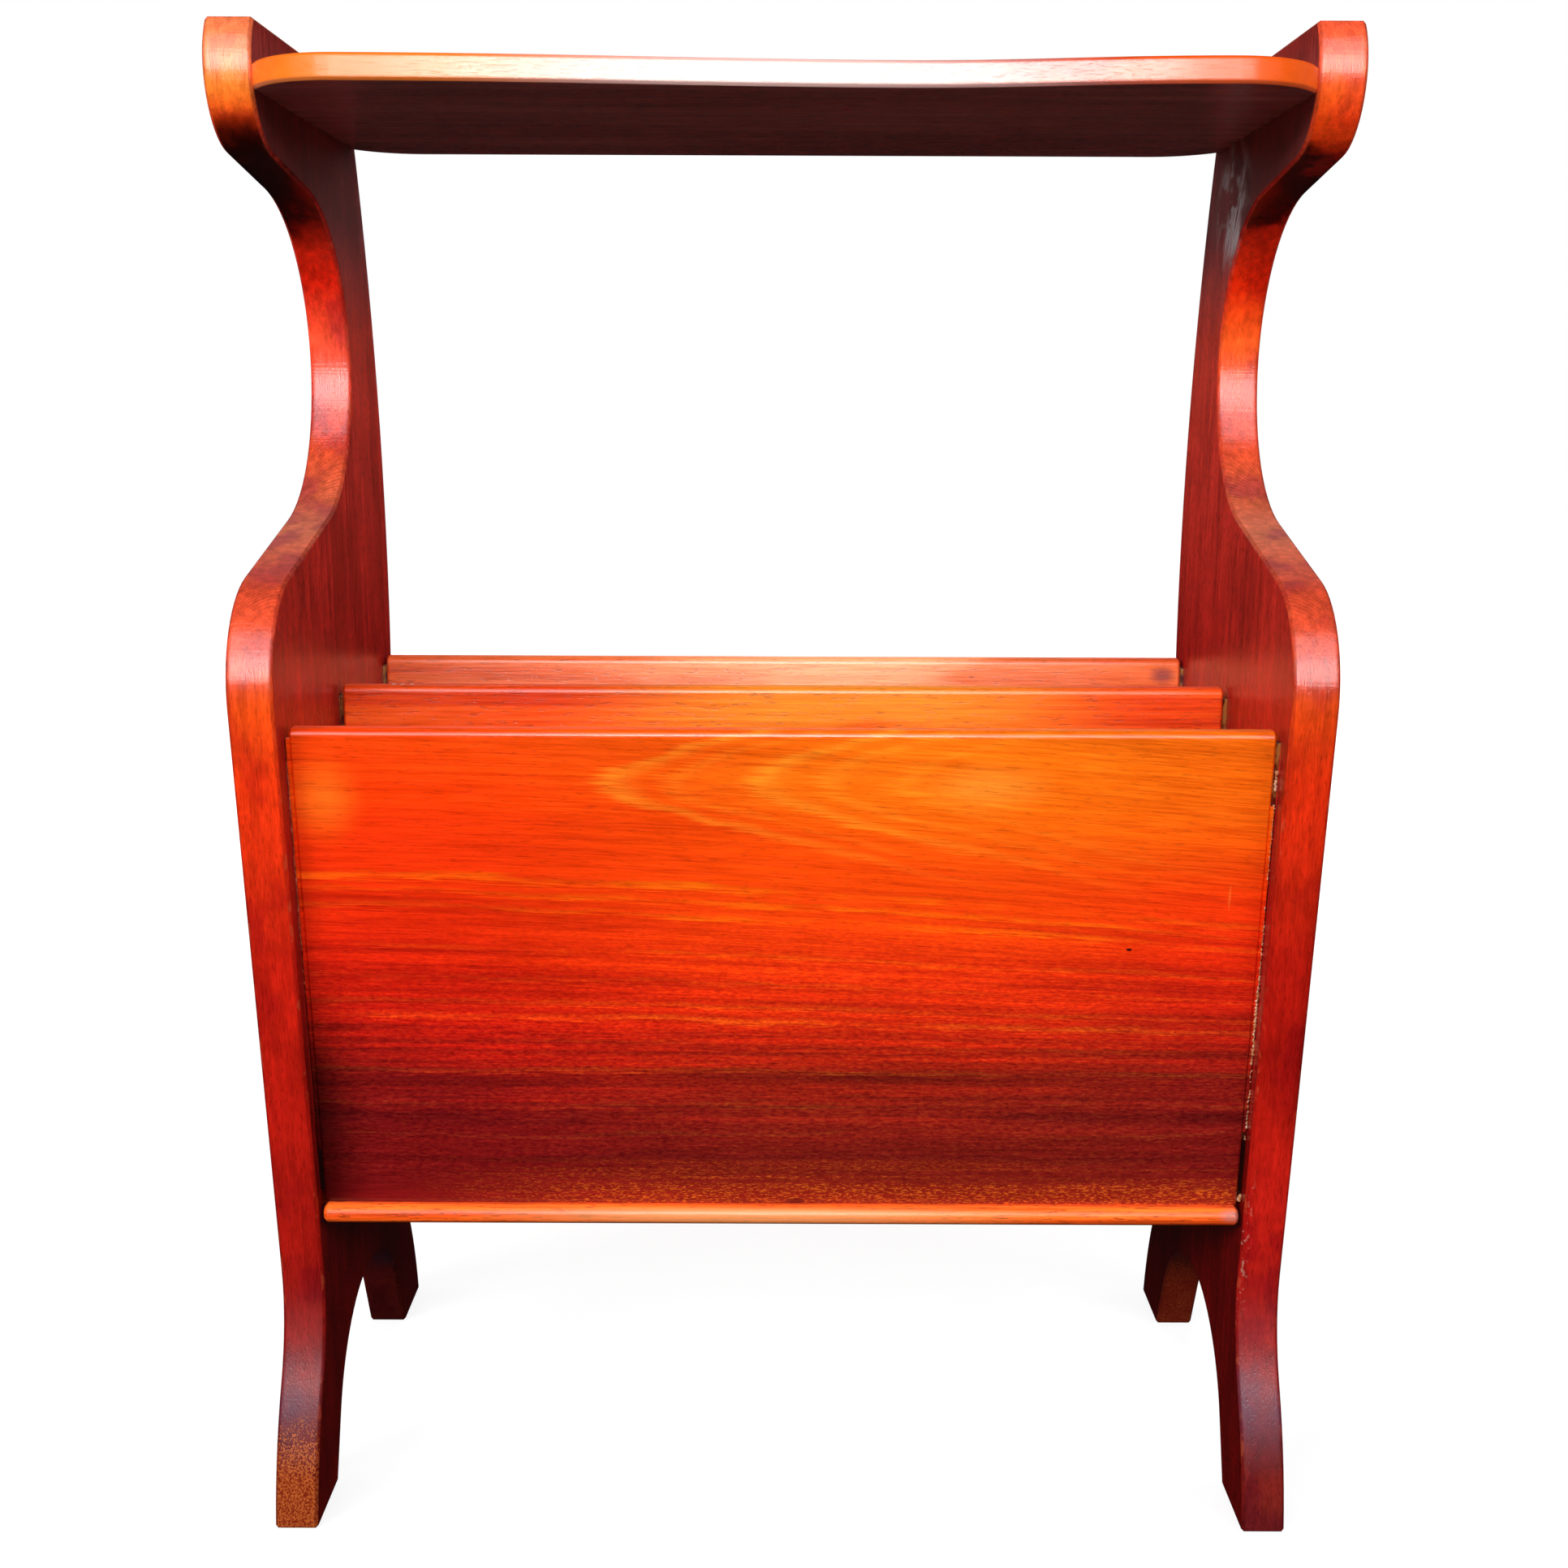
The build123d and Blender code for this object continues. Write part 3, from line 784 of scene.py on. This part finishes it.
    def feet_wear_sheen_and_shade(self, colour):
        """A painted violet sheen over the ankles, feet worn bare and speckled in front,
        and painted shade on the feet behind.
        """
        painted_sheen = self.product(self.band(self.z, *SHEEN_ZONE), self.edge)
        colour = self.blend(self.product(painted_sheen, self.swing(self.blotches, 0.75, 0.0)), colour, VIOLET_SHEEN)
        ragged = self.shifted(self.z, self.own_noise((0.09, 0.09, 0.09), 47), 14.0)
        ragged = self.shifted(ragged, self.speckle, -10.0)
        worn = self.product(self.between(ragged, self.look.bare_to, self.look.bare_to - 9.0), self.front)
        colour = self.blend(worn, colour, self.blend(self.speckle, *BARE_WOOD))
        # Painted shade on the feet behind the trough
        rear_feet_shade = self.product(self.between(self.y, 0.0, 35.0), self.between(self.z, 140.0, 105.0))
        return self.shade(colour, self.swing(rear_feet_shade, 1.0, 0.5))

    def add_age_and_reflection(self, colour):
        """A painted grey reflection in brushed strokes high on the inner face, a bare arch at the rear foot,
        and dust down the shin.
        """
        slanted = self.join(self.x, self.math("ADD", self.y, self.product(self.z, 0.6)), self.z)
        strokes = self.between(self.own_noise((0.3, 0.8, 0.07), 73, place=slanted), 0.36, 0.54)
        patches = self.between(self.own_noise((0.1, 0.07, 0.09), 89, detail=4.0), 0.42, 0.56)
        painted_reflection = self.product(strokes, patches, self.swing(self.edge, 1.0, 0.0))
        painted_reflection = self.product(painted_reflection, self.spot(GREY_REFLECTION), GREY_REFLECTION.strength)
        colour = self.blend(painted_reflection, colour, GREY_REFLECTION.tint)

        arch = self.product(self.edge, self.between(self.y, 35.0, 50.0))
        arch = self.product(arch, self.between(self.face_y, -0.2, -0.4), self.between(self.z, 78.0, 66.0))
        scuffed = self.product(self.speckle, self.swing(self.blotches, 0.15, 1.0))
        colour = self.blend(arch, colour, self.blend(scuffed, *SCUFFED_WOOD))

        dust = self.between(self.own_noise((0.5, 0.5, 0.4), 79), 0.58, 0.66)
        dust = self.product(dust, self.between(self.x, inner_face + 5.0, inner_face + 0.5), self.front)
        dust = self.product(dust, self.band(self.z, *DUST_ZONE), 0.6)
        return self.blend(dust, colour, PALE_DUST)

    def varnish(self, colour):
        """Glossy varnish, duller on the broad faces, and levelled to a satin skin over the ankles."""
        gloss = self.math("ADD", self.swing(self.grain.fibres, 0.12, 0.20), self.product(self.sawn, 0.03))
        matt = self.product(self.swing(self.edge, 0.14, 0.0), self.between(self.z, 110.0, 260.0))
        ankle = self.product(self.between(self.z, 125.0, 85.0), self.front)
        satin = self.product(ankle, self.between(self.z, 8.0, 34.0), 0.32)
        roughness = self.math("MAXIMUM", self.math("ADD", gloss, matt), satin)
        ripples = self.between(self.own_noise((0.05, 0.8, 0.8), 67), 0.3, 0.7)
        height = self.math("ADD", self.grain.height(self), self.product(ripples, self.edge, self.sawn, 0.4))
        return self.finish(
            colour, roughness, height, relief_mm=0.06, specular=0.85, rounded_mm=2.2, levelled=ankle,
        )


def paint_end(name, look):
    """One end, with the marks of age and the painted reflection that only the right one has."""
    paint = EndPaint(name, look)
    colour = paint.blend(paint.edge, paint.faces(), paint.edges())
    colour = paint.feet_wear_sheen_and_shade(paint.rub_arrises(colour))
    if look.aged:
        colour = paint.add_age_and_reflection(colour)
    return paint.varnish(colour)


def paint_dowel():
    """Plain beech dowels, hidden in their holes."""
    paint = Paint("dowel_wood")
    grain = Grain(paint, ALONG_X, 71.0)
    colour = paint.shade(paint.ramp(grain.streaks, 0.3, 0.7, DOWEL_COLOURS), grain.tone(paint))
    return paint.finish(colour, roughness=0.7, height=grain.height(paint), relief_mm=0.05)


def paint_glue():
    """Old glue: tan with white crumbs, and stained red in the left joint."""
    paint = Paint("old_glue")
    crumbs = paint.noise((0.35, 0.35, 0.35), 91.0)
    grit = paint.noise((2.0, 2.0, 2.0), 97.0)
    colour = paint.ramp(crumbs, 0.3, 0.7, GLUE_COLOURS)
    colour = paint.tinted(paint.between(paint.x, 0.0, -1.0), colour, GLUE_STAIN)
    colour = paint.shade(colour, paint.swing(grit, 0.75, 1.25))
    return paint.finish(colour, roughness=0.6, height=grit, relief_mm=0.2, specular=0.4)


def make_object(name, shape, material):
    """A mesh object of one material from a finished shape."""
    mesh = bpy.data.meshes.new(name)
    shape.to_mesh(mesh)
    shape.free()
    mesh.materials.append(material)
    made = bpy.data.objects.new(name, mesh)
    bpy.context.collection.objects.link(made)
    return made


def make_joint_glue():
    """Dried glue beside the front panel: crumbs in the right joint and a thin bead in the left one."""
    dice = random.Random(11)
    shape = bmesh.new()

    def crumb(x, z, radius, stretch, sunk):
        place = Matrix.Translation(Vector((x, panel_face(z) + sunk + dice.uniform(0.0, 0.4), z)) * MM)
        turn = Matrix.Rotation(dice.uniform(-0.4, 0.4), 4, "Y")
        size = Matrix.Diagonal((radius * MM, CRUMB_DEPTH * MM, radius * stretch * MM, 1.0))
        made = bmesh.ops.create_icosphere(shape, subdivisions=1, radius=1.0, matrix=place @ turn @ size)
        for vertex in made["verts"]:
            vertex.co += Vector([dice.uniform(-0.25, 0.25) * radius * MM for axis in range(3)])

    for sign, groups, off, spread, stretch, sunk in GLUED_JOINTS:
        for top, foot, count, radius in groups:
            for step in range(count):
                z = foot + (top - foot) * (step + dice.random()) / count
                x = sign * (inner_face - off + dice.uniform(-spread, spread))
                crumb(x, z, radius * dice.uniform(0.6, 1.3), stretch, sunk)
    glue = make_object("joint_glue", shape, paint_glue())
    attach(glue, "root")


def make_joint_filler():
    """Thin strips of stained filler beside the front panel, flush with its face, with a ragged outer edge."""
    dice = random.Random(23)
    shape = bmesh.new()
    for sign, foot, top in JOINT_FILLERS:
        steps = round((top - foot) / FILLER_STEP)
        rows = []
        for step in range(steps + 1):
            z = foot + (top - foot) * step / steps
            face = panel_face(z) + 0.03
            outer = inner_face - dice.uniform(0.3, 0.6)
            front = ((board_end, 0.0), (outer - 0.3, 0.0), (outer, 0.4))
            section = ((board_end, FILLER_DEPTH), *front, (outer, FILLER_DEPTH))
            rows.append([shape.verts.new(Vector((sign * x, face + y, z)) * MM) for x, y in section])
        for row, above in zip(rows, rows[1:]):
            for first in range(len(row)):
                second = (first + 1) % len(row)
                shape.faces.new((row[first], row[second], above[second], above[first]))
        shape.faces.new(rows[0])
        shape.faces.new(rows[-1])
    bmesh.ops.recalc_face_normals(shape, faces=shape.faces)
    filler = make_object("joint_filler", shape, paint_front_panel("joint_filler_wood", filler=True))
    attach(filler, "root")


def dress(node, material):
    """Gives a CAD node its material."""
    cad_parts[node].data.materials.clear()
    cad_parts[node].data.materials.append(material)


def make_camera():
    """The camera at the photograph's place, with its angle of view."""
    data = bpy.data.cameras.new("camera")
    data.sensor_width = SENSOR_MM
    data.lens = FOCAL_PX / PHOTO_SIZE * SENSOR_MM
    camera = bpy.data.objects.new("camera", data)
    bpy.context.collection.objects.link(camera)
    tilt = Matrix.Rotation(radians(90.0 - CAMERA_PITCH), 4, "X")
    roll = Matrix.Rotation(radians(CAMERA_ROLL), 4, "Z")
    camera.matrix_world = Matrix.Translation(CAMERA_PLACE) @ tilt @ roll
    bpy.context.scene.camera = camera


def make_softbox(name, place, aim, size, radiance, colour=WHITE, diffuse=True, glossy=True):
    """A rectangular lamp that faces a point. Its power follows from how bright its face is."""
    data = bpy.data.lights.new(name, "AREA")
    data.shape = "RECTANGLE"
    data.size, data.size_y = size
    data.energy = radiance * pi * size[0] * size[1]
    data.color = colour
    lamp = bpy.data.objects.new(name, data)
    bpy.context.collection.objects.link(lamp)
    lamp.location = place
    lamp.rotation_euler = (Vector(aim) - Vector(place)).to_track_quat("-Z", "Y").to_euler()
    lamp.visible_camera = False
    lamp.visible_diffuse = diffuse
    lamp.visible_glossy = glossy


def background_share(tree):
    """How much of the white background a ray sees: all of it from the camera and through clear things,
    and little in the varnish, so that the wood keeps its depth.
    """
    path = tree.nodes.new("ShaderNodeLightPath")
    total = path.outputs["Is Camera Ray"]
    for name, share in (("Is Transmission Ray", 1.0), ("Is Glossy Ray", GLOSS_SHARE)):
        node = tree.nodes.new("ShaderNodeMath")
        node.operation = "MULTIPLY_ADD"
        tree.links.new(path.outputs[name], node.inputs[0])
        node.inputs[1].default_value = share
        tree.links.new(total, node.inputs[2])
        total = node.outputs[0]
    return total


def make_world():
    """A white background, which gives off little light of its own."""
    world = bpy.data.worlds.new("world")
    world.use_nodes = True
    tree = world.node_tree
    strength = tree.nodes.new("ShaderNodeMapRange")
    strength.inputs["To Min"].default_value = AMBIENT
    tree.links.new(background_share(tree), strength.inputs["Value"])
    background = tree.nodes["Background"]
    background.inputs["Color"].default_value = (*WHITE, 1.0)
    tree.links.new(strength.outputs["Result"], background.inputs["Strength"])
    bpy.context.scene.world = world


def make_floor():
    """A pale floor that keeps the rack's shadow and fades to the white background further out."""
    paint = Paint("floor_paint")
    path = paint.nodes.new("ShaderNodeLightPath")
    seen = paint.blend(path.outputs["Is Camera Ray"], FLOOR_BOUNCE, FLOOR_SEEN)
    seen = paint.blend(path.outputs["Is Glossy Ray"], seen, BLACK)
    paint.feed(paint.shader.inputs["Base Color"], seen)
    paint.shader.inputs["Roughness"].default_value = 0.9
    paint.shader.inputs["Specular IOR Level"].default_value = 0.0
    paint.shader.inputs["Emission Color"].default_value = (*WHITE, 1.0)
    distance = paint.vector("LENGTH", paint.place)
    glow = paint.swing(paint.between(distance, *FLOOR_FADE), FLOOR_GLOW, 1.0)
    strength = paint.product(glow, background_share(paint.material.node_tree))
    paint.feed(paint.shader.inputs["Emission Strength"], strength)
    shape = bmesh.new()
    bmesh.ops.create_circle(shape, cap_ends=True, segments=96, radius=FLOOR_RADIUS)
    floor = make_object("floor", shape, paint.material)


def make_lights():
    """Softboxes, each with its place, aim, size and radiance. Those for the wood don't show in the varnish,
    and those for its highlights don't light the wood.
    """
    middle = (0.0, 0.0, 0.32)
    upper = (0.0, 0.0, 0.48)
    make_softbox("key_light", (-0.3, -2.5, 1.68), middle, (2.4, 0.9), 5.2, glossy=False)
    make_softbox("low_light", (-0.1, -2.5, 0.62), middle, (2.4, 0.9), 1.7, glossy=False)
    make_softbox("left_wing_light", (-1.9, -1.8, 1.48), middle, (1.3, 1.0), 12.0, glossy=False)
    make_softbox("right_wing_light", (1.9, -1.8, 1.48), middle, (1.3, 1.0), 7.0, glossy=False)
    make_softbox("horizon_light", (0.0, -2.6, 1.40), upper, (3.2, 1.25), 5.0, diffuse=False)
    make_softbox("window_light", (-0.1, -2.5, 1.15), upper, (0.8, 0.9), 10.0, diffuse=False)
    make_softbox("sky_light", (0.0, -1.9, 2.3), middle, (3.2, 1.1), 2.5, (0.80, 0.88, 1.0), diffuse=False)
    make_softbox("back_light", (0.0, 2.6, 1.5), middle, (3.0, 1.4), 4.4, glossy=False)
    for sign in (-1, 1):
        make_softbox("side_light", (sign * 2.5, 0.4, 1.4), middle, (1.6, 1.2), 2.6, glossy=False)


dress("front_panel", paint_front_panel("front_panel_wood"))
dress("middle_divider", paint_divider())
dress("rear_panel", paint_rear_panel())
dress("bottom_board", paint_bottom())
dress("top_shelf", paint_shelf())
dress("left_end", paint_end("left_end_wood", LEFT_END))
dress("right_end", paint_end("right_end_wood", RIGHT_END))
dowel_wood = paint_dowel()
for dowels in ("left_shelf_dowels", "right_shelf_dowels"):
    dress(dowels, dowel_wood)

make_joint_glue()
make_joint_filler()

make_camera()
make_world()
make_floor()
make_lights()
bpy.context.scene.view_settings.view_transform = "Standard"
